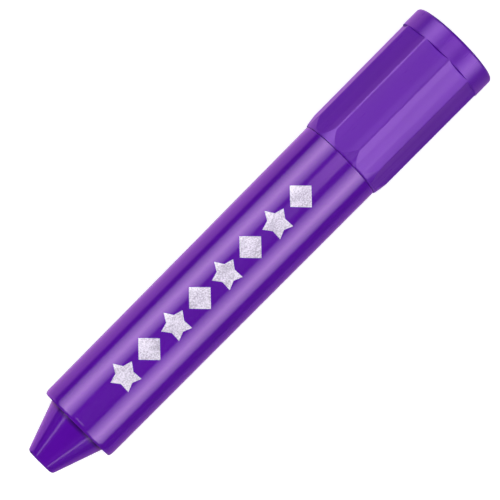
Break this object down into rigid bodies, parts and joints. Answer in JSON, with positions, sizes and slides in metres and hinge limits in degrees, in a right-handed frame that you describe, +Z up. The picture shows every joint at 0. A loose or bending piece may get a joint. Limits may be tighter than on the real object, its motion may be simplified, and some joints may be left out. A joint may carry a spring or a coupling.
{
  "type": "twist-up crayon",
  "caption": "Jumbo wax crayon in a round plastic case, with a tapered twist knob at the tail, a screw feed inside and a fluted push-on cap.",
  "frame": {"origin": "on the surface that the crayon lies on, under the middle of its length", "axes": "+X along the case from the twist knob's blunt end to the cap's closed end, +Z up"},
  "size_m": [0.118, 0.0204, 0.0204],
  "materials": {
    "case_plastic": "gloss",
    "knob_plastic": "gloss",
    "cap_plastic": "gloss",
    "neck_plastic": "satin",
    "screw_plastic": "satin",
    "holder_plastic": "satin",
    "drag_ring_rubber": "matte",
    "seal_rubber": "matte",
    "wax": "waxy, satin",
    "foil_print": "hot-stamped silver foil, satin"
  },
  "bodies": {
    "case": {"barrel_tube": "case_plastic", "neck_sleeve": "neck_plastic"},
    "cap": {"cap_shell": "cap_plastic", "cap_seal": "seal_rubber"},
    "drive": {"twist_knob": "knob_plastic", "lead_screw": "screw_plastic", "drag_ring": "drag_ring_rubber"},
    "feed": {"stick_holder": "holder_plastic", "wax_stick": "wax"}
  },
  "joints": [
    {"name": "cap_pull", "type": "slide", "parent": "case", "child": "cap", "axis": [1, 0, 0], "range_m": [0, 0.04]},
    {"name": "stick_feed", "type": "slide", "parent": "case", "child": "feed", "axis": [1, 0, 0], "range_m": [0, 0.024]},
    {"name": "knob_twist", "type": "hinge", "parent": "case", "child": "drive", "pos_m": [-0.05, 0, 0.01019], "axis": [1, 0, 0], "range_deg": [0, 1080]}
  ],
  "couplings": [
    {"joint": "knob_twist", "follows": "stick_feed", "rad_per_m": 785.4}
  ]
}
